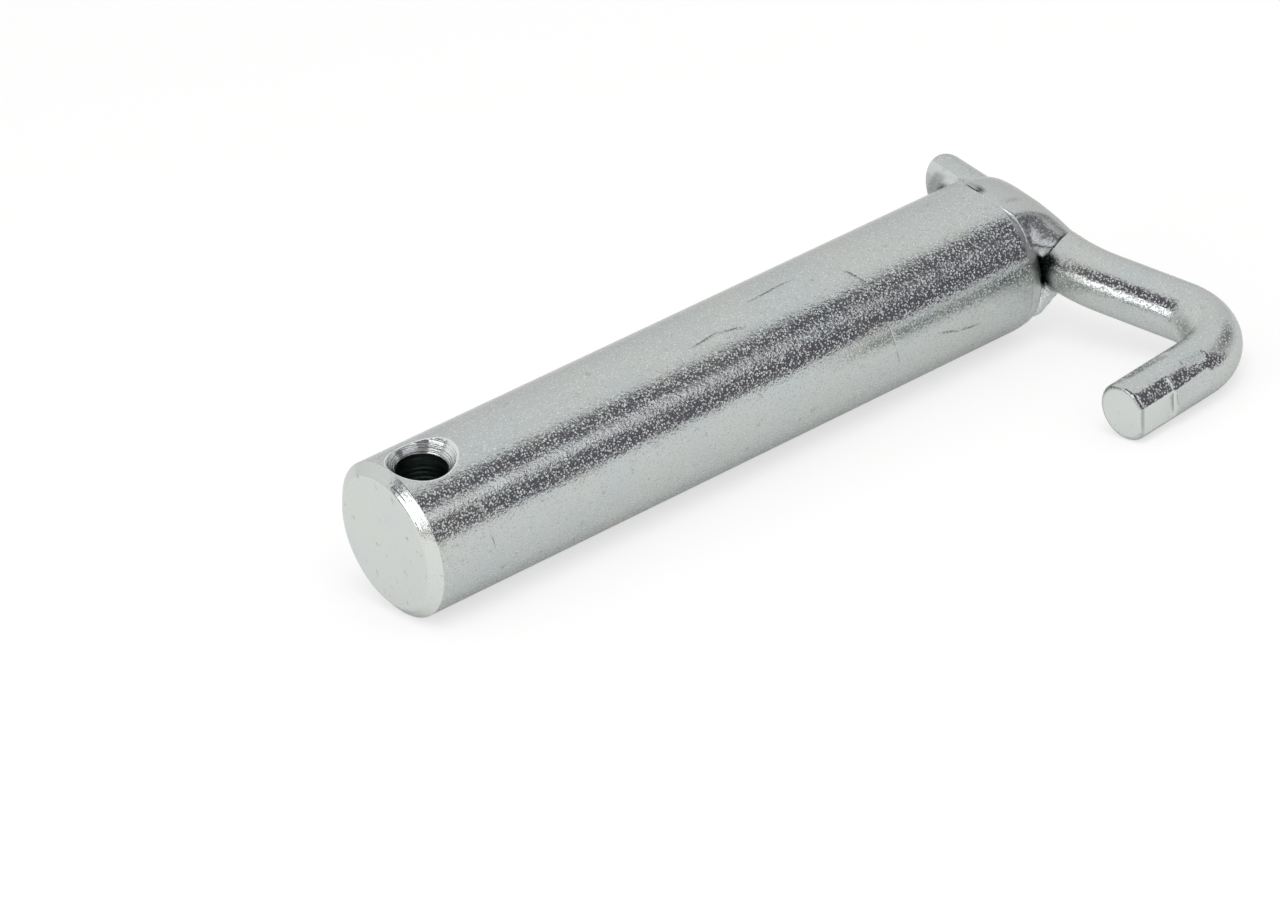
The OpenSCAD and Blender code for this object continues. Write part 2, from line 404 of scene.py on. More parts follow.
def build_bar(bar, finishes):
    """Turned bar: barrel with rolled edges, countersunk both sides, and the drill's ridges in its bore"""
    skin = Skin()
    rows, first, last = bar_profile(bar)
    turns = [2 * math.pi * i / BAR_COLUMNS for i in range(BAR_COLUMNS)]
    rings = [skin.ring([(x, r * math.cos(a), r * math.sin(a)) for a in turns]) for x, r in rows]
    opening = set()
    for top in (TOP_COLUMN, TOP_COLUMN + BAR_COLUMNS // 2):
        opening |= {i % BAR_COLUMNS for i in range(top - PATCH_HALF, top + PATCH_HALF)}
    for row in range(len(rings) - 1):
        for i in range(BAR_COLUMNS):
            if first <= row < last and i in opening:
                continue
            j = (i + 1) % BAR_COLUMNS
            finish = PLATED
            if rows[row][0] < bar.rim_along - 0.3 * MM:
                finish = FACED
            elif rows[row][0] > bar.length - bar.chamfer_along - TINY:
                finish = MACHINED
            skin.face((rings[row][i], rings[row][j], rings[row + 1][j], rings[row + 1][i]), finish)
    for ring, row in zip(rings, rows):
        for point in ring:
            skin.tool_runs[point] = row[0] / MM

    hole_x = bar.length - bar.hole_from_tip
    lap = (
        [(last, i) for i in range(-PATCH_HALF, PATCH_HALF)]
        + [(row, PATCH_HALF) for row in range(last, first, -1)]
        + [(first, i) for i in range(PATCH_HALF, -PATCH_HALF, -1)]
        + [(row, -PATCH_HALF) for row in range(first, last)]
    )
    spots = [
        (rows[row][0] - hole_x, -bar.radius * math.sin(2 * math.pi * i / BAR_COLUMNS)) for row, i in lap
    ]
    angles = [math.atan2(y, x) for x, y in spots]
    reaches = [math.hypot(x, y) for x, y in spots]
    walls = {}
    for side in (1, -1):
        column = TOP_COLUMN if side > 0 else TOP_COLUMN + BAR_COLUMNS // 2
        outer = [rings[row][(column + side * i) % BAR_COLUMNS] for row, i in lap]
        sections = []
        for angle, reach in zip(angles, reaches):
            mouth = hole_profile(bar, angle, SHARP)[0][0]
            edge = min(MOUTH_ROLL, 0.5 * (reach - mouth))
            section = hole_profile(bar, angle, edge)
            lead = []
            for t in LEAD:
                distance = section[0][0] + (reach - section[0][0]) * t
                lead.append((distance, barrel_height(bar, distance, angle)))
            sections.append(lead + section)
        previous = outer
        for k in range(len(sections[0])):
            ring = skin.ring(
                [
                    (hole_x + s[k][0] * math.cos(a), s[k][0] * math.sin(a), side * s[k][1])
                    for s, a in zip(sections, angles)
                ]
            )
            skin.bridge(previous, ring, SUNK if k > len(LEAD) else PLATED)
            for point, section in zip(ring, sections):
                skin.tool_runs[point] = section[k][1] / MM * SINK_RUN
            previous = ring
        walls[side] = previous
    # Bore: six rings to a ridge, with a slower wave across the ridges, and both fade out at the bore's ends
    depth = bar.radius - bar.sink_depth - FOOT_ROLL
    count = max(8, round(2 * depth / bar.ridge_pitch * 6))
    previous = walls[1]
    for k in range(1, count):
        z = depth - 2 * depth * k / count
        fade = min(1, k / 4, (count - k) / 4)
        ring = []
        for a in angles:
            ridge = math.sin(2 * math.pi * z / bar.ridge_pitch + a)
            slow = math.sin(2 * math.pi * z / bar.ridge_pitch * 0.37 + 2 * a)
            r = bar.hole_radius + bar.ridge_depth * fade * (0.7 * ridge + 0.4 * slow)
            ring.append((hole_x + r * math.cos(a), r * math.sin(a), z))
        ring = skin.ring(ring)
        skin.bridge(previous, ring, BORED)
        previous = ring
    skin.bridge(previous, walls[-1], BORED)

    for x, rim, start in ((bar.length, rings[-1], rows[-1][1]), (0, rings[0], rows[0][1])):
        previous = rim
        for part in FACE_RINGS:
            ring = skin.ring([(x, start * part * math.cos(a), start * part * math.sin(a)) for a in turns])
            skin.bridge(previous, ring, FACED)
            previous = ring
        skin.fan(previous, (x, 0, 0), FACED)

    def painted_shade(x, y, z):
        """Faint painted shade over the middle of the head face"""
        return 0.15 * rise(x, 0.15, 0.0) * rise(math.hypot(y, z), 7.9, 7.2)

    skin.piece("turned_bar", finishes, "shank", painted_shade, barrel_place)


# Columns round the rod, and how far apart its rings are along the arm and the bends, and along the leg
ROD_COLUMNS = 96
ROD_STEP = 0.28 * MM
LEG_STEP = 0.1 * MM

# Rings of the stub's cut and of the tip's face by radius, and the rings that roll the edge of either
STUB_RINGS = (0.3, 0.6, 0.85, 0.97)
TIP_RINGS = (0.97, 0.8, 0.5, 0.2)
EDGE_TURNS = np.linspace(0, math.pi / 2, 8)


def rod_line(rod):
    """Centre line of the rod as (x, y, heading, distance run), from the stub to the leg's tip"""
    corners = [
        Vector((-rod.radius, -rod.stub)),
        Vector((-rod.radius, rod.arm_bend_at)),
        Vector((-rod.radius - rod.arm_lean, rod.arm_reach)),
        Vector((rod.leg_reach, rod.arm_reach + rod.leg_spread)),
    ]
    bends = [rod.arm_bend_radius, rod.corner_radius]
    stations = []
    at = corners[0]
    for k, bend in enumerate(bends):
        way_in = (corners[k + 1] - corners[k]).normalized()
        way_out = (corners[k + 2] - corners[k + 1]).normalized()
        turn = math.atan2(way_in.x * way_out.y - way_in.y * way_out.x, way_in.dot(way_out))
        start = corners[k + 1] - way_in * bend * math.tan(abs(turn) / 2)
        heading = math.atan2(way_in.y, way_in.x)
        run = (start - at).length
        count = max(2, round(run / ROD_STEP))
        for i in range(count):
            p = at + (start - at) * (i / count)
            stations.append((p.x, p.y, heading))
        side = math.copysign(1, turn)
        centre = start + side * bend * Vector((-way_in.y, way_in.x))
        count = max(8, round(abs(turn) * (bend + rod.radius) / ROD_STEP))
        for i in range(count):
            a = heading + turn * i / count
            p = centre - side * bend * Vector((-math.sin(a), math.cos(a)))
            stations.append((p.x, p.y, a))
        a = heading + turn
        at = centre - side * bend * Vector((-math.sin(a), math.cos(a)))
    way = corners[3] - at
    count = round(way.length / LEG_STEP)
    heading = math.atan2(way.y, way.x)
    for i in range(count + 1):
        p = at + way * (i / count)
        stations.append((p.x, p.y, heading))
    run = 0
    line = []
    for k, (x, y, heading) in enumerate(stations):
        if k:
            run += math.hypot(x - stations[k - 1][0], y - stations[k - 1][1])
        line.append((x, y, heading, run))
    return line


# Places of the finishes in the rod's list: drawn rod, cut faces and flats painted lighter, corner's pressed
# side painted lighter
DRAWN, CUT, PRESSED = range(3)

# The clamp pressed a flat on the leg, painted lighter as painted highlight: its length, direction round the
# rod, and half its width there
CLAMPED = 4.5 * MM
CLAMP_SIDE = math.radians(3)
CLAMP_REACH = math.radians(30)

# So is the flat on the stub, as far along the rod as it goes
STUB_FLAT_END = -7.7 * MM
STUB_FLAT_SIDE = math.radians(121)
STUB_FLAT_REACH = math.radians(13)

# Bending pressed the inner side of the corner matt, and it is painted lighter: the middle of that patch and
# half its length
CROOK = Vector((-3.1, 24.9, 2.4)) * MM
CROOK_REACH = 2.2 * MM


def build_rod(rod, finishes):
    """Bent rod: slanted cut with a rolled rim at the stub, two bends, and a rolled edge at the leg's tip"""
    skin = Skin()
    line = rod_line(rod)
    length = line[-1][3]
    turns = [2 * math.pi * i / ROD_COLUMNS for i in range(ROD_COLUMNS)]
    slant = math.tan(rod.stub_slant)
    edge = rod.stub_edge
    first_full = -rod.stub + slant * rod.radius + edge + 0.4 * MM

    def stub_point(a, inset=0, part=1, lift=0, along=0):
        """Point of the stub at one angle, from its cut towards the first full ring of the rod"""
        r = rod_radius(rod, length, a)
        y = -rod.stub - slant * (r - inset) * part * math.sin(a) + lift
        y += (first_full - y) * along
        r = (rod_radius(rod, length - rod.stub - y, a) - inset) * part
        return -rod.radius - r * math.cos(a), y, rod.offset + r * math.sin(a)

    rings = [skin.ring([stub_point(a, edge, part) for a in turns]) for part in STUB_RINGS]
    for roll in EDGE_TURNS:
        inset, lift = edge * (1 - math.sin(roll)), edge * (1 - math.cos(roll))
        rings.append(skin.ring([stub_point(a, inset, lift=lift) for a in turns]))
    for t in np.linspace(0, 1, 16)[1:]:
        rings.append(skin.ring([stub_point(a, lift=edge, along=t) for a in turns]))
    tip_run = length - rod.tip_edge
    for x, y, heading, run in line:
        if y <= first_full + 0.1 * MM and abs(heading - math.pi / 2) < TINY:
            continue
        if run > tip_run - 0.05 * MM:
            break
        rings.append(skin.ring(rod_section(rod, x, y, heading, turns, length - run)))
    x, y, heading, run = line[-1]
    tip = Vector((x, y, rod.offset))
    edge = rod.tip_edge
    for roll in EDGE_TURNS:
        back = edge * (1 - math.sin(roll))
        place = (x - back * math.cos(heading), y - back * math.sin(heading))
        inset = edge * (1 - math.cos(roll))
        rings.append(skin.ring(rod_section(rod, *place, heading, turns, back, inset)))
    for part in TIP_RINGS:
        rings.append(skin.ring(rod_section(rod, x, y, heading, turns, 0, edge, part)))
    stub_faces, tip_faces = len(STUB_RINGS) - 1, len(rings) - 1 - len(TIP_RINGS)
    for k, (one, two) in enumerate(zip(rings, rings[1:])):
        skin.bridge(one, two, DRAWN if stub_faces <= k < tip_faces else CUT)
        if (Vector(skin.points[two[0]]) - tip).length > math.hypot(CLAMPED, rod.radius):
            continue
        for i, a in enumerate(turns):
            if abs(math.remainder(a - CLAMP_SIDE, 2 * math.pi)) < CLAMP_REACH:
                skin.finishes[i - ROD_COLUMNS] = CUT
    for face, corners in enumerate(skin.faces):
        middle = Vector(np.mean([skin.points[i] for i in corners], axis=0))
        turn = math.atan2(middle.z - rod.offset, -middle.x - rod.radius)
        if middle.y < STUB_FLAT_END and abs(turn - STUB_FLAT_SIDE) < STUB_FLAT_REACH:
            skin.finishes[face] = CUT
        elif (middle - CROOK).length < CROOK_REACH:
            skin.finishes[face] = PRESSED
    skin.fan(rings[0], (-rod.radius, -rod.stub, rod.offset), CUT)
    skin.fan(rings[-1], (x, y, rod.offset), CUT)

    def painted_shade(x, y, z):
        """Painted shade in the crevice at the head, a darker patch on the stub's end, and a painted shade
        line along the tip's clamped side
        """
        stub_dark_patch = 0.35 * rise(x, -1.7, -1.1) * rise(y, -8.4, -9.2) * rise(y, -10.6, -9.9) * rise(z, 4.6, 4.0)
        off = Vector((x, y, z)) * MM - tip
        back = -(off.x * math.cos(heading) + off.y * math.sin(heading)) / MM
        side = (off.y * math.cos(heading) - off.x * math.sin(heading)) / MM
        line = 0.4 * rise(back, 0.02, 0.1) * rise(back, 0.4, 0.2) * rise(side, 0.9, 1.5) * rise(z, -1.5, 1.5)
        return max(crevice_painted_shade(x, y, z), stub_dark_patch, line)

    skin.piece("bent_rod", finishes, "handle_rod", painted_shade)


# Flats that the clamp and the bending tool pressed into the rod, as distances back from the leg's tip in mm
# where each starts and ends, its direction round the rod at both in degrees from the outer side up, its
# depth and how softly its ends fade, in mm
ROD_FLATS = (
    (-1.0, 4.62, 3, 3, 0.45, 0.05),
    (-1.0, 4.60, 47, 47, 0.13, 0.08),
    (4.74, 9.60, 11, 19, 0.16, 0.08),
    (4.70, 8.60, 46, 50, 0.06, 0.30),
    (7.2, 10.2, 64, 62, 0.09, 0.12),
    (1.5, 7.5, 120, 112, 0.10, 0.3),
    (48.3, 52.4, 118, 122, 0.06, 0.3),
)


def rod_radius(rod, back, angle):
    """Radius of the rod at one angle, back from the leg's tip, less where a flat is pressed in"""
    back /= MM
    radius = rod.radius
    for start, end, first, last, depth, soft in ROD_FLATS:
        t = (back - start) / (end - start)
        if not -0.1 < t < 1.1:
            # Too far along the rod from this flat
            continue
        fade = rise(back, start - soft, start + soft) * rise(back, end + soft, end - soft)
        middle = math.radians(first + (last - first) * t)
        turn = math.remainder(angle - middle, 2 * math.pi)
        if abs(turn) < 1:
            flat = (rod.radius - depth * MM * fade) / math.cos(turn)
            radius = min(radius, flat)
    return radius


def rod_section(rod, x, y, heading, turns, back, inset=0, part=1):
    """Ring of the rod square to its line, back from the leg's tip, drawn in by inset and then scaled by
    part"""
    ring = []
    for a in turns:
        r = (rod_radius(rod, back, a) - inset) * part
        ring.append(
            (
                x - r * math.cos(a) * math.sin(heading),
                y + r * math.cos(a) * math.cos(heading),
                rod.offset + r * math.sin(a),
            )
        )
    return ring


# Upper weld, station by station from its end below the arm, over the top, to the stub's side: angle round
# the bar from +Y in degrees, toe's distance from the head face, height of the toe's step, slope down from
# the toe in degrees, place along the rod, angle round the rod (90 is its top), and swell there. Lengths are
# in mm.
UPPER_WELD = (
    (22.0, -0.45, 0.02, 40, 7.35, 36, 0.00),
    (25.5, 0.10, 0.03, 34, 7.55, 44, 0.05),
    (30.3, 0.61, 0.03, 26, 7.62, 56, 0.10),
    (35.9, 1.06, 0.03, 20, 7.60, 70, 0.14),
    (44.0, 0.90, 0.04, 16, 7.20, 98, 0.18),
    (51.4, 0.92, 0.14, 16, 6.40, 126, 0.26),
    (58.0, 1.15, 0.42, 16, 5.30, 141, 0.34),
    (64.5, 1.34, 0.24, 12, 4.10, 148, 0.38),
    (70.8, 1.42, 0.03, 8, 3.00, 151, 0.42),
    (76.3, 1.44, 0.015, 5, 2.10, 152, 0.42),
    (83.1, 1.68, 0.015, 4, 1.00, 152, 0.42),
    (90.0, 1.84, 0.06, 4, 0.00, 152, 0.42),
    (97.8, 1.87, 0.12, 3, -1.10, 152, 0.42),
    (106.8, 1.60, 0.12, 4, -2.40, 151, 0.40),
    (113.5, 1.30, 0.09, 6, -3.40, 148, 0.38),
    (119.8, 0.75, 0.10, 12, -4.30, 141, 0.30),
    (125.0, 0.05, 0.08, 24, -5.00, 128, 0.12),
    (129.0, -0.35, 0.06, 36, -5.40, 112, 0.02),
)

# Lower weld, from the stub's side to the arm's side: place along the rod, height of the toe on the head
# face, toe's distance from that face, angle round the rod in degrees, and swell there. Lengths are in mm.
LOWER_WELD = (
    (-6.50, -2.30, -0.30, -62, 0.00),
    (-6.20, -3.10, -0.10, -84, 0.12),
    (-5.40, -4.20, 0.00, -106, 0.25),
    (-3.80, -5.00, 0.00, -124, 0.35),
    (-1.50, -5.30, 0.00, -130, 0.35),
    (0.80, -5.10, 0.00, -128, 0.38),
    (3.00, -5.20, 0.00, -129, 0.35),
    (4.80, -5.00, 0.02, -124, 0.28),
    (6.00, -4.60, 0.05, -114, 0.14),
    (6.80, -3.85, 0.05, -104, 0.10),
    (7.35, -3.00, 0.05, -94, 0.10),
    (7.70, -2.10, 0.05, -80, 0.14),
    (7.86, -1.20, 0.04, -60, 0.20),
    (7.84, -0.40, 0.00, -40, 0.12),
    (7.68, 0.20, -0.05, -22, 0.02),
)


# Sections along each weld, points of a section from its lip to its heel, and how deep both ends of a
# section go into the metal. The seed makes the lumps come out the same each time.
UPPER_SECTIONS = 110
LOWER_SECTIONS = 100
WELD_POINTS = 26
WELD_SINK = 0.08 * MM
WELD_SEED = 8


def even_run(table, count):
    """Table of equal-length rows resampled to count rows along a smooth line through them"""
    table = np.array(table, float)
    slopes = np.gradient(table, axis=0)
    rows = []
    for place in np.linspace(0, len(table) - 1, count):
        i = min(int(place), len(table) - 2)
        t = place - i
        rows.append(
            (2 * t**3 - 3 * t**2 + 1) * table[i]
            + (t**3 - 2 * t**2 + t) * slopes[i]
            + (3 * t**2 - 2 * t**3) * table[i + 1]
            + (t**3 - t**2) * slopes[i + 1]
        )
    return rows


def rod_contact(rod, x, z):
    """1 where a weld meets the rod, from bench millimetres, falling to 0 a quarter of a millimetre off"""
    off = math.hypot(x + rod.radius / MM, z - rod.offset / MM) - rod.radius / MM
    return rise(abs(off), 0.25, 0.05)


def lumpy(point, size, height):
    """Shift of a weld's point that makes its skin uneven, with lumps of the given size and height"""
    return np.array(noise.noise_vector(Vector(point) / size)) * height


def weld_skin(lip, near, far, heel, size, height):
    """Points of a weld's skin from its lip to its heel, drawn towards near and far on the way, with lumps
    of the given size and height"""
    points = []
    for t in np.linspace(0, 1, WELD_POINTS):
        u = 1 - t
        point = u**3 * lip + 3 * u * u * t * near + 3 * u * t * t * far + t**3 * heel
        points.append(point + lumpy(point, size, height * t * u))
    return points


def upper_section(toe, out, way, step, slope, heel, rod_out, rod_way, swell):
    """Section of the upper weld from its toe to its heel. out is square to the metal at the toe and way
    runs from the toe over the weld; rod_out and rod_way are the same at the heel, rod_way running back up
    over the rod"""
    lip = toe + out * step + way * step * 0.7
    chord = np.linalg.norm(heel - lip)
    leave = way * math.cos(slope) - out * math.sin(slope)
    near = lip + leave * chord * 0.3
    far = heel + rod_way * chord * 0.42 + rod_out * swell * 1.5
    foot = [toe - out * WELD_SINK - way * 0.02 * MM, toe, toe + (lip - toe) * 0.6]
    return foot + weld_skin(lip, near, far, heel, 1.4 * MM, 0.02 * MM) + [heel - rod_out * WELD_SINK]


def lower_section(toe, heel, rod_out, rod_way, swell):
    """Section of the lower weld, from the head face to the underside of the rod"""
    chord = np.linalg.norm(heel - toe)
    near = toe + np.array((-0.75, 0, -0.35)) * chord * 0.33
    far = heel + rod_way * chord * 0.36 + rod_out * swell * 1.6
    foot = [toe + np.array((0.3, 0, 0.05)) * MM]
    return foot + weld_skin(toe, near, far, heel, 0.9 * MM, 0.9 * MM) + [heel - rod_out * WELD_SINK]


def weld_piece(sections, insides, name, node, finishes, painted_shade):
    """Closed run of weld from its sections and the points inside the metal that close each of them"""
    skin = Skin()
    rings = [skin.ring(section + inside) for section, inside in zip(sections, insides)]
    for one, two in zip(rings, rings[1:]):
        skin.bridge(one, two)
    for ring in (rings[0], rings[-1]):
        skin.fan(ring, np.mean([skin.points[i] for i in ring], axis=0))
    skin.piece(name, finishes, node, painted_shade)


def build_upper_weld(bar, rod, finishes):
    """Upper weld: laps over the barrel's rim and runs down over the rod's top"""
    sections, insides = [], []
    axis = np.array((-rod.radius, 0, rod.offset))
    way = np.array((-1.0, 0, 0))
    for turn, x, step, slope, y, around, swell in even_run(UPPER_WELD, UPPER_SECTIONS):
        a, b = math.radians(turn), math.radians(around)
        out = np.array((0, math.cos(a), math.sin(a)))
        toe = np.array((x * MM, 0, 0)) + out * (bar.radius - rim_fall(bar, max(x, 0.3) * MM))
        rod_out = np.array((math.cos(b), 0, math.sin(b)))
        rod_way = np.array((math.sin(b), 0, -math.cos(b)))
        heel = axis + np.array((0, y * MM, 0)) + rod_out * rod.radius
        slope = math.radians(slope)
        sections.append(upper_section(toe, out, way, step * MM, slope, heel, rod_out, rod_way, swell * MM))
        in_rod = axis + np.array((0.4 * MM, y * MM * 0.88, 0.9 * MM))
        in_bar = np.array((min(x, 0.9) * MM * 0.3, 0, 0)) + out * (bar.radius - 1.5 * MM)
        insides.append([in_rod, in_bar])

    def painted_shade(x, y, z):
        """Painted shade on the end below the arm, on the stub's side, against the rod, and under the toe's
        step
        """
        end = rise(y, 7.1, 7.5) * rise(z, 3.9, 3.3)
        stub_side = rise(y, -4.3, -5.2) * 0.5
        crease = 0.8 * rod_contact(rod, x, z) * rise(y, 6.9, 7.3)
        turn = math.degrees(math.atan2(z, y))
        undercut = rise(abs(math.hypot(y, z) - bar.radius / MM + 0.02), 0.16, 0.06)
        undercut *= rise(turn, 86, 93) * rise(turn, 109, 102) * rise(x, 1.0, 1.3)
        return max(end, stub_side, crease, undercut)

    weld_piece(sections, insides, "upper_weld_run", "upper_weld", finishes, painted_shade)


def build_lower_weld(bar, rod, finishes):
    """Lower weld: fills the corner below the rod and ends flush with the barrel's rim"""
    sections, insides = [], []
    axis = np.array((-rod.radius, 0, rod.offset))
    for y, z, x, around, swell in even_run(LOWER_WELD, LOWER_SECTIONS):
        b = math.radians(around)
        toe = np.array((x, y, z)) * MM
        rod_out = np.array((math.cos(b), 0, math.sin(b)))
        rod_way = np.array((-math.sin(b), 0, math.cos(b)))
        heel = axis + np.array((0, y * MM, 0)) + rod_out * rod.radius
        sections.append(lower_section(toe, heel, rod_out, rod_way, swell * MM))
        in_rod = axis + np.array((0.5 * MM, y * MM * 0.95, -0.9 * MM))
        in_bar = np.array((0.5 * MM, y * MM * 0.9, (z * 0.4 - 0.9) * MM))
        insides.append([in_rod, in_bar])

    def painted_shade(x, y, z):
        """Painted shade along its top by the crevice above, and against the rod on the arm's side"""
        return max(0.8 * rise(z, -0.4, 0.1), 0.7 * rod_contact(rod, x, z) * rise(y, 6.5, 7.0))

    weld_piece(sections, insides, "lower_weld_run", "lower_weld", finishes, painted_shade)


def add_node(tree, kind, inputs=None, **settings):
    """Adds a node, sets it up, and links or sets its inputs. A node that is given as an input stands for
    its first output"""
    node = tree.nodes.new(kind)
    for name, value in settings.items():
        setattr(node, name, value)
    for key, value in (inputs or {}).items():
        if isinstance(value, bpy.types.Node):
            value = next(socket for socket in value.outputs if not socket.is_unavailable)
        if isinstance(value, bpy.types.NodeSocket):
            tree.links.new(value, node.inputs[key])
        else:
            node.inputs[key].default_value = value
    return node


def new_material(name):
    material = bpy.data.materials.new(name)
    material.use_nodes = True
    material.node_tree.nodes.clear()
    return material, material.node_tree


def per_metre(millimetres):
    """Texture scale that makes a feature this many millimetres across"""
    return 1 / (millimetres * MM)


def opaque(colour):
    return (*colour, 1)


WHITE = opaque(linear("ffffff"))

# Scratches and nicks of the barrel: width, then the points of its line as place along the barrel and round
# it. Lengths are in mm. The widths are about twice the real ones so that the scratches show, and so is
# their depth.
SCRATCH_DEPTH = 0.12 * MM
BARREL_SCRATCHES = (
    (0.28, (40.4, 10.35), (37.2, 10.66), (34.04, 9.88)),
    (0.26, (32.09, 12.55), (25.52, 12.87)),
    (0.28, (21.05, 11.25), (19.82, 8.45)),
    (0.36, (20.09, 8.08), (19.85, 6.62), (19.98, 5.13)),
    (0.30, (19.73, 3.98), (19.34, 1.2), (18.92, -0.83)),
    (0.26, (13.91, 0.7), (11.18, -0.2), (8.61, -0.59)),
    (0.44, (8.46, 7.14), (7.75, 5.74)),
    (0.34, (8.81, 6.17), (7.49, 6.63)),
    (0.38, (32.14, 5.87), (33.02, 5.17)),
    (0.34, (69.58, 5.79), (69.09, 4.36)),
    (0.30, (69.24, 2.59), (68.79, 0.45)),
)

# How far a scratch sways off its straight line and how long its bends are, in mm
SCRATCH_SWAY = 0.2
SCRATCH_BEND = 1.25


def scratched(tree, scratches, normal):
    """Bump node with the scratches cut into the normal. Their places are read from the mesh"""
    surface = add_node(tree, "ShaderNodeAttribute", attribute_name=MARK_PLACE).outputs["Vector"]
    sway = add_node(
        tree, "ShaderNodeTexNoise", {"Vector": surface, "Scale": 1 / SCRATCH_BEND, "Detail": 1.0}
    )
    swayed = add_node(
        tree,
        "ShaderNodeVectorMath",
        {0: sway.outputs["Color"], 1: (SCRATCH_SWAY, SCRATCH_SWAY, 0), 2: surface},
        operation="MULTIPLY_ADD",
    )
    strokes = [
        (Vector(start), Vector(end), width)
        for width, *points in scratches
        for start, end in zip(points, points[1:])
    ]
    nearest = 1.0
    for start, end, width in strokes:
        # Each stroke is an ellipse, a little longer than its line so that the strokes of one scratch meet
        middle, run = (start + end) / 2, end - start
        local = add_node(
            tree,
            "ShaderNodeMapping",
            {
                "Vector": swayed,
                "Location": (middle.x + SCRATCH_SWAY / 2, middle.y + SCRATCH_SWAY / 2, 0),
                "Rotation": (0, 0, math.atan2(run.y, run.x)),
                "Scale": (run.length * 0.62, width / 2, 1),
            },
            vector_type="TEXTURE",
        )
        away = add_node(tree, "ShaderNodeVectorMath", {0: local}, operation="LENGTH")
        nearest = add_node(tree, "ShaderNodeMath", {0: away, 1: nearest}, operation="MINIMUM")
    return add_node(
        tree, "ShaderNodeBump", {"Distance": SCRATCH_DEPTH, "Height": nearest, "Normal": normal}
    )


# Sizes in the finishes, in mm across: clouds of the passivation, dirt specks, soft ripple of the steel
# under the zinc, turning marks from one to the next, and patches of film in the bore. Then the ripple's and
# the pits' depth.
CLOUD = 7
SPECK = 1.1
RIPPLE = 3.2
TURNING_MARK = 0.22
BORE_FILM = 0.9
RIPPLE_DEPTH = 0.05 * MM
PIT_DEPTH = 0.03 * MM

# Zinc's tint where it is seen at a grazing angle
EDGE_TINT = opaque(linear("e7e7e7"))


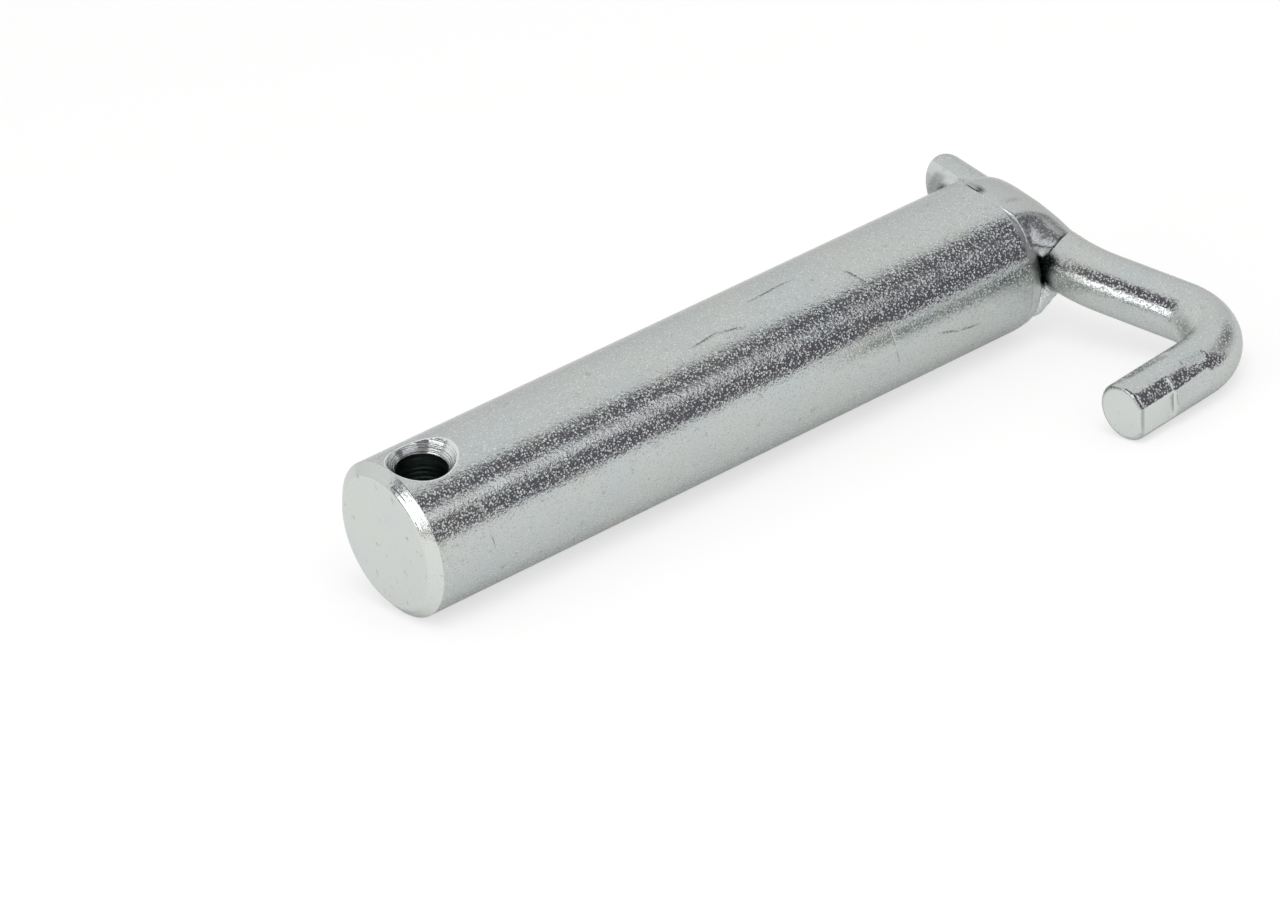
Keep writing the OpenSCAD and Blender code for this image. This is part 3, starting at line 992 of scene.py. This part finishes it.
def zinc_plated_steel(name, colours, grain, sparkle, roughness, shade="zinc", marks=0, scratches=()):
    """Steel, electroplated with zinc and clear passivated. The eye gets a pale grey metal with a satin
    gloss, faint yellow, green and blue clouds of the passivation, and fine zinc crystals that glitter
    wherever the metal mirrors something dark. grain is how far apart the crystals are in mm, drawn a little
    coarser than real so that they show, and marks is how deep the turning marks are in mm"""
    material, tree = new_material(name)
    place = add_node(tree, "ShaderNodeTexCoord").outputs["Object"]

    # Colour and gloss that drift with the passivation, and specks of dirt
    clouds = add_node(
        tree,
        "ShaderNodeTexNoise",
        {"Vector": place, "Scale": per_metre(CLOUD), "Detail": 3.0, "Roughness": 0.55},
    )
    hue = add_node(tree, "ShaderNodeValToRGB", {"Fac": clouds})
    ramp = hue.color_ramp.elements
    ramp.new(0.5)
    for element, position, tint in zip(ramp, (0.36, 0.5, 0.66), (shade + "_cool", shade, shade + "_warm")):
        element.position = position
        element.color = opaque(getattr(colours, tint))
    gloss = add_node(
        tree,
        "ShaderNodeMapRange",
        {
            "Value": clouds,
            "From Min": 0.3,
            "From Max": 0.7,
            "To Min": roughness - 0.03,
            "To Max": roughness + 0.04,
        },
    )
    specks = add_node(
        tree,
        "ShaderNodeTexNoise",
        {"Vector": place, "Scale": per_metre(SPECK), "Detail": 4.0, "Roughness": 0.7},
    )
    dirt = add_node(
        tree, "ShaderNodeMapRange", {"Value": specks, "From Min": 0.62, "From Max": 0.72, "To Max": 0.45}
    )

    # Zinc crystals: cells with a frayed outline, each tilted its own way, with plain metal between them
    fray = add_node(
        tree, "ShaderNodeTexNoise", {"Vector": place, "Scale": per_metre(grain * 0.8), "Detail": 1.0}
    )
    frayed = add_node(
        tree,
        "ShaderNodeVectorMath",
        {0: fray.outputs["Color"], 1: (grain * 0.6 * MM,) * 3, 2: place},
        operation="MULTIPLY_ADD",
    )
    crystals = add_node(tree, "ShaderNodeTexVoronoi", {"Vector": frayed, "Scale": per_metre(grain)})
    spot = add_node(tree, "ShaderNodeMapRange", {"Value": crystals, "From Min": 0.44, "From Max": 0.32})
    centred = add_node(
        tree,
        "ShaderNodeVectorMath",
        {0: crystals.outputs["Color"], 1: (0.5, 0.5, 0.5)},
        operation="SUBTRACT",
    )
    lean = add_node(tree, "ShaderNodeMath", {0: spot, 1: sparkle * 0.5}, operation="MULTIPLY")
    tilt = add_node(tree, "ShaderNodeVectorMath", {0: centred, "Scale": lean}, operation="SCALE")

    # The crystals are rougher than the metal between them, and each is matt to an extent of its own
    scatter = add_node(
        tree, "ShaderNodeMath", {0: spot, 1: sparkle * 0.5, 2: gloss}, operation="MULTIPLY_ADD"
    )
    chance = add_node(tree, "ShaderNodeSeparateXYZ", {"Vector": crystals.outputs["Color"]})
    matt = add_node(
        tree,
        "ShaderNodeMapRange",
        {"Value": chance.outputs["X"], "To Min": sparkle * 0.2, "To Max": sparkle * 1.3},
    )
    frost = add_node(tree, "ShaderNodeMath", {0: spot, 1: matt}, operation="MULTIPLY")

    # Soft ripple of the steel under fine pits of the plating, then turning marks and scratches where there
    # are any
    ripple = add_node(
        tree,
        "ShaderNodeTexNoise",
        {"Vector": place, "Scale": per_metre(RIPPLE), "Detail": 2.0, "Roughness": 0.5},
    )
    soft = add_node(tree, "ShaderNodeBump", {"Distance": RIPPLE_DEPTH, "Height": ripple})
    pits = add_node(
        tree,
        "ShaderNodeTexNoise",
        {"Vector": place, "Scale": per_metre(grain * 1.3), "Detail": 2.0, "Roughness": 0.6},
    )
    bump = add_node(tree, "ShaderNodeBump", {"Distance": PIT_DEPTH, "Height": pits, "Normal": soft})
    if marks:
        run = add_node(tree, "ShaderNodeAttribute", attribute_name=TOOL_RUN)
        lines = add_node(
            tree,
            "ShaderNodeTexNoise",
            {"W": run.outputs["Fac"], "Scale": 1 / TURNING_MARK, "Detail": 2.0, "Roughness": 0.6},
            noise_dimensions="1D",
        )
        bump = add_node(tree, "ShaderNodeBump", {"Distance": marks * MM, "Height": lines, "Normal": bump})
    if scratches:
        bump = scratched(tree, scratches, bump)
    leaned = add_node(tree, "ShaderNodeVectorMath", {0: bump, 1: tilt})
    facet = add_node(tree, "ShaderNodeVectorMath", {0: leaned}, operation="NORMALIZE")

    # What lies over the zinc's own colour: specks of dirt, the crystals' frost, and painted shade in the
    # film colour from the mesh
    film = add_node(tree, "ShaderNodeAttribute", attribute_name=PAINTED_SHADE).outputs["Fac"]
    colour = hue
    for cover, tint in ((dirt, colours.dirt), (frost, colours.frost), (film, colours.film)):
        colour = add_node(
            tree, "ShaderNodeMix", {"Factor": cover, "A": colour, "B": opaque(tint)}, data_type="RGBA"
        )
    mirror = add_node(tree, "ShaderNodeMath", {0: 1.0, 1: frost}, operation="SUBTRACT")
    metal = add_node(
        tree,
        "ShaderNodeBsdfPrincipled",
        {
            "Base Color": colour,
            "Metallic": mirror,
            "Roughness": scatter,
            "Specular Tint": EDGE_TINT,
            "Normal": facet,
        },
    )
    add_node(tree, "ShaderNodeOutputMaterial", {"Surface": metal})
    return material


def drilled_bore(name, colours):
    """Drilled steel that the plating hardly reaches. The eye gets a dark, greenish, half-gloss film"""
    material, tree = new_material(name)
    place = add_node(tree, "ShaderNodeTexCoord").outputs["Object"]
    film = add_node(
        tree, "ShaderNodeTexNoise", {"Vector": place, "Scale": per_metre(BORE_FILM), "Detail": 3.0}
    )
    tone = add_node(
        tree,
        "ShaderNodeMix",
        {"Factor": film, "A": opaque(colours.bore), "B": opaque(colours.dirt)},
        data_type="RGBA",
    )
    metal = add_node(
        tree, "ShaderNodeBsdfPrincipled", {"Base Color": tone, "Metallic": 1.0, "Roughness": 0.32}
    )
    add_node(tree, "ShaderNodeOutputMaterial", {"Surface": metal})
    return material


# Where the dim room's middle lies, and the dark doorway at the left
ROOM_SIDE = (0.479, 0.878, 0.0)
DOORWAY_SIDE = (-0.901, 0.095, 0.423)


def build_world(colours):
    """Studio: white to the camera; for the metal a white cove, a soft box above and a dim room in front"""
    world = bpy.data.worlds.new("studio")
    bpy.context.scene.world = world
    world.use_nodes = True
    tree = world.node_tree
    tree.nodes.clear()
    way = add_node(tree, "ShaderNodeTexCoord").outputs["Generated"]
    height = add_node(tree, "ShaderNodeSeparateXYZ", {"Vector": way}).outputs["Z"]

    # The dim room in front of the pin reaches up to the soft box, and the doorway is dark at any height
    front = add_node(tree, "ShaderNodeVectorMath", {0: way, 1: ROOM_SIDE}, operation="DOT_PRODUCT")
    side = add_node(tree, "ShaderNodeVectorMath", {0: way, 1: DOORWAY_SIDE}, operation="DOT_PRODUCT")
    room, below_box, doorway = (
        add_node(
            tree,
            "ShaderNodeMapRange",
            {"Value": value, "From Min": low, "From Max": high, "To Max": most},
            interpolation_type="SMOOTHSTEP",
        )
        for value, low, high, most in (
            (front, -0.04, 0.04, 1.0),
            (height, 0.94, 0.84, 1.0),
            (side, 0.935, 0.995, 0.8),
        )
    )
    front_dim = add_node(tree, "ShaderNodeMath", {0: room, 1: below_box}, operation="MULTIPLY")
    dim = add_node(tree, "ShaderNodeMath", {0: front_dim, 1: doorway}, operation="MAXIMUM")
    cove = add_node(
        tree, "ShaderNodeMapRange", {"Value": height, "From Max": 0.9, "To Min": 0.86, "To Max": 0.98}
    )
    mirrored = add_node(
        tree, "ShaderNodeMix", {"Factor": dim, "A": cove, "B": opaque(colours.room)}, data_type="RGBA"
    )

    # Matt surfaces get even light instead, and the camera sees white
    studio = add_node(tree, "ShaderNodeBackground", {"Color": mirrored})
    even = add_node(tree, "ShaderNodeBackground", {"Color": WHITE, "Strength": 0.75})
    white = add_node(tree, "ShaderNodeBackground", {"Color": WHITE})
    path = add_node(tree, "ShaderNodeLightPath")
    seen = add_node(
        tree,
        "ShaderNodeMath",
        {0: path.outputs["Is Camera Ray"], 1: path.outputs["Is Transmission Ray"]},
        operation="MAXIMUM",
    )
    spread = add_node(
        tree, "ShaderNodeMixShader", {"Fac": path.outputs["Is Diffuse Ray"], 1: studio, 2: even}
    )
    pick = add_node(tree, "ShaderNodeMixShader", {"Fac": seen, 1: spread, 2: white})
    add_node(tree, "ShaderNodeOutputWorld", {"Surface": pick})


# Half the table's width, and how much of what the camera and the metal see of it is even white
TABLE_HALF = 1.5
WHITE_TO_CAMERA = 0.62
WHITE_TO_METAL = 0.26


def build_floor(colours):
    """Pale matt table, white to the camera and to the metal, that keeps part of the pin's soft shadow"""
    mesh = bpy.data.meshes.new("floor")
    signs = ((-1, -1), (1, -1), (1, 1), (-1, 1))
    corners = [(x * TABLE_HALF, y * TABLE_HALF, FLOOR_LEVEL) for x, y in signs]
    mesh.from_pydata(corners, [], [(0, 1, 2, 3)])
    floor = bpy.data.objects.new("floor", mesh)
    bpy.context.scene.collection.objects.link(floor)
    material, tree = new_material("pale_matt_table")
    paint = add_node(tree, "ShaderNodeBsdfDiffuse", {"Color": opaque(colours.floor)})
    glow = add_node(tree, "ShaderNodeEmission", {"Color": WHITE, "Strength": 1.0})
    path = add_node(tree, "ShaderNodeLightPath")
    seen = add_node(
        tree,
        "ShaderNodeMath",
        {0: path.outputs["Is Camera Ray"], 1: path.outputs["Is Transmission Ray"]},
        operation="MAXIMUM",
    )
    lit = add_node(tree, "ShaderNodeMath", {0: seen, 1: WHITE_TO_CAMERA}, operation="MULTIPLY")
    share = add_node(
        tree,
        "ShaderNodeMath",
        {0: path.outputs["Is Glossy Ray"], 1: WHITE_TO_METAL, 2: lit},
        operation="MULTIPLY_ADD",
    )
    mix = add_node(tree, "ShaderNodeMixShader", {"Fac": share, 1: paint, 2: glow})
    add_node(tree, "ShaderNodeOutputMaterial", {"Surface": mix})
    mesh.materials.append(material)


def direction(azimuth, elevation):
    """Direction from the pin to something at one azimuth and elevation, counted as the camera's are"""
    level = math.cos(elevation)
    return Vector((math.sin(azimuth) * level, -math.cos(azimuth) * level, math.sin(elevation)))


def build_lamp():
    """Large soft box high above and behind the pin. The metal mirrors the studio, not the lamp's outline"""
    lamp = bpy.data.lights.new("soft_box", "AREA")
    lamp.shape = "SQUARE"
    lamp.size = 0.5
    lamp.energy = 2.6
    obj = bpy.data.objects.new("soft_box", lamp)
    obj.location = (0.12, 0.32, 0.72)
    obj.rotation_euler = (Vector((0, 0, 0)) - obj.location).to_track_quat("-Z", "Y").to_euler()
    obj.visible_glossy = False
    bpy.context.scene.collection.objects.link(obj)


# Distance of the strip lights from the pin
STRIP_AWAY = 0.6


def build_strip(name, azimuth, elevation, width, height, strength):
    """Strip light beside the camera, hidden from it. It draws the glints on the metal's edges"""
    lamp = bpy.data.lights.new(name, "AREA")
    lamp.shape = "RECTANGLE"
    lamp.size = width
    lamp.size_y = height
    lamp.energy = strength * math.pi * width * height
    way = direction(math.radians(azimuth), math.radians(elevation))
    obj = bpy.data.objects.new(name, lamp)
    obj.location = way * STRIP_AWAY
    obj.rotation_euler = way.to_track_quat("Z", "Y").to_euler()
    obj.visible_camera = False
    bpy.context.scene.collection.objects.link(obj)


def build_camera(stage):
    """Camera at the photograph's angle, level turned by its roll"""
    back = direction(stage.camera_azimuth, stage.camera_elevation)
    lens = bpy.data.cameras.new("camera")
    lens.sensor_width = 36
    lens.sensor_fit = "HORIZONTAL"
    lens.lens = stage.lens
    lens.clip_start = 0.05
    lens.clip_end = 20
    camera = bpy.data.objects.new("camera", lens)
    camera.location = Vector(stage.aim) + back * stage.camera_away
    level = back.to_track_quat("Z", "Y").to_matrix()
    camera.rotation_euler = (level @ Matrix.Rotation(-stage.camera_roll, 3, "Z")).to_euler()
    bpy.context.scene.collection.objects.link(camera)
    bpy.context.scene.camera = camera


class LOCKINGPIN_OT_bar(bpy.types.Operator):
    """Build the turned bar with its cross hole"""

    bl_idname = "locking_pin.bar"
    bl_label = "Turned bar"

    def execute(self, context):
        colours = tool_props("colours")
        # Turned and plated barrel: glossy, with fine bright crystals and a few scratches from handling
        barrel = zinc_plated_steel(
            "zinc_plated_turned_steel",
            colours,
            grain=0.24,
            sparkle=0.8,
            roughness=0.15,
            scratches=BARREL_SCRATCHES,
        )
        # Drilled bore: dark and half-gloss
        bore = drilled_bore("drilled_bore_steel", colours)
        # End faces cut square: an even satin sheen, hardly any crystals, and the zinc painted lighter as
        # painted highlight
        faces = zinc_plated_steel(
            "zinc_plated_faced_steel", colours, grain=0.4, sparkle=0.05, roughness=0.3, shade="painted_light_faced"
        )
        # Chamfer cut with a turning tool: bright rings, on zinc painted lighter as painted highlight
        chamfer = zinc_plated_steel(
            "zinc_plated_chamfer_steel",
            colours,
            grain=0.4,
            sparkle=0.05,
            roughness=0.14,
            shade="painted_light_faced",
            marks=0.06,
        )
        # Countersink cut with a drill: the brightest rings of all, on zinc painted lightest as painted
        # highlight
        sunk = zinc_plated_steel(
            "zinc_plated_countersink_steel",
            colours,
            grain=0.4,
            sparkle=0.05,
            roughness=0.13,
            shade="painted_light_machined",
            marks=0.06,
        )
        build_bar(tool_props("bar"), [barrel, bore, faces, chamfer, sunk])
        return {"FINISHED"}


class LOCKINGPIN_OT_rod(bpy.types.Operator):
    """Build the bent rod of the handle"""

    bl_idname = "locking_pin.rod"
    bl_label = "Bent rod"

    def execute(self, context):
        colours = tool_props("colours")
        # Drawn and bent rod: glossy, with fine bright crystals
        drawn = zinc_plated_steel(
            "zinc_plated_drawn_steel", colours, grain=0.25, sparkle=0.7, roughness=0.15
        )
        # Cut ends and clamped flats: an even satin sheen, hardly any crystals, and the zinc painted lighter
        # as painted highlight
        cut = zinc_plated_steel(
            "zinc_plated_cut_steel", colours, grain=0.4, sparkle=0.05, roughness=0.3, shade="painted_light_faced"
        )
        # Inside of the corner, pressed by the bending tool: matt and full of crystals, and painted lighter
        # as painted highlight
        pressed = zinc_plated_steel(
            "zinc_plated_pressed_steel", colours, grain=0.25, sparkle=1.0, roughness=0.42, shade="painted_light_faced"
        )
        build_rod(tool_props("rod"), [drawn, cut, pressed])
        return {"FINISHED"}


class LOCKINGPIN_OT_welds(bpy.types.Operator):
    """Build the two welds that join the rod to the bar"""

    bl_idname = "locking_pin.welds"
    bl_label = "Welds"

    def execute(self, context):
        colours = tool_props("colours")
        # Upper weld, which ran smooth: a satin gloss with few crystals
        smooth = zinc_plated_steel(
            "zinc_plated_weld_metal", colours, grain=0.35, sparkle=0.2, roughness=0.24
        )
        # Lower weld, which set uneven: broken up by crystals, and painted brighter in the machined colour as
        # painted highlight
        rough_painted_lighter = zinc_plated_steel(
            "zinc_plated_rough_weld_metal_painted_lighter",
            colours,
            grain=0.35,
            sparkle=1.0,
            roughness=0.2,
            shade="painted_light_machined",
        )
        noise.seed_set(WELD_SEED)
        build_upper_weld(tool_props("bar"), tool_props("rod"), [smooth])
        build_lower_weld(tool_props("bar"), tool_props("rod"), [rough_painted_lighter])
        return {"FINISHED"}


class LOCKINGPIN_OT_stage(bpy.types.Operator):
    """Set up the floor, the studio and the camera"""

    bl_idname = "locking_pin.stage"
    bl_label = "Stage"

    def execute(self, context):
        build_world(tool_props("colours"))
        build_floor(tool_props("colours"))
        build_lamp()
        build_strip("left_strip", azimuth=95, elevation=18, width=0.5, height=0.24, strength=2.2)
        build_strip("right_strip", azimuth=192, elevation=34, width=0.5, height=0.15, strength=1.2)
        build_camera(tool_props("stage"))
        context.scene.view_settings.view_transform = "Standard"
        return {"FINISHED"}


class LOCKINGPIN_PT_tools(bpy.types.Panel):
    """Lists the building steps of the locking pin"""

    bl_label = "Locking pin"
    bl_idname = "LOCKINGPIN_PT_tools"
    bl_space_type = "VIEW_3D"
    bl_region_type = "UI"
    bl_category = "Locking pin"

    def draw(self, context):
        for step in STEPS:
            self.layout.operator(step.bl_idname)


GROUPS = {"bar": BarSizes, "rod": RodSizes, "colours": FinishColours, "stage": StageSizes}
STEPS = (LOCKINGPIN_OT_bar, LOCKINGPIN_OT_rod, LOCKINGPIN_OT_welds, LOCKINGPIN_OT_stage)
CLASSES = (*GROUPS.values(), *STEPS, LOCKINGPIN_PT_tools)


def register():
    for cls in CLASSES:
        bpy.utils.register_class(cls)
    for name, group in GROUPS.items():
        setattr(bpy.types.Scene, "locking_pin_" + name, PointerProperty(type=group))


def unregister():
    for name in GROUPS:
        delattr(bpy.types.Scene, "locking_pin_" + name)
    for cls in reversed(CLASSES):
        bpy.utils.unregister_class(cls)


def main():
    register()
    bpy.ops.locking_pin.bar()
    bpy.ops.locking_pin.rod()
    bpy.ops.locking_pin.welds()
    bpy.ops.locking_pin.stage()


if __name__ == "__main__":
    main()
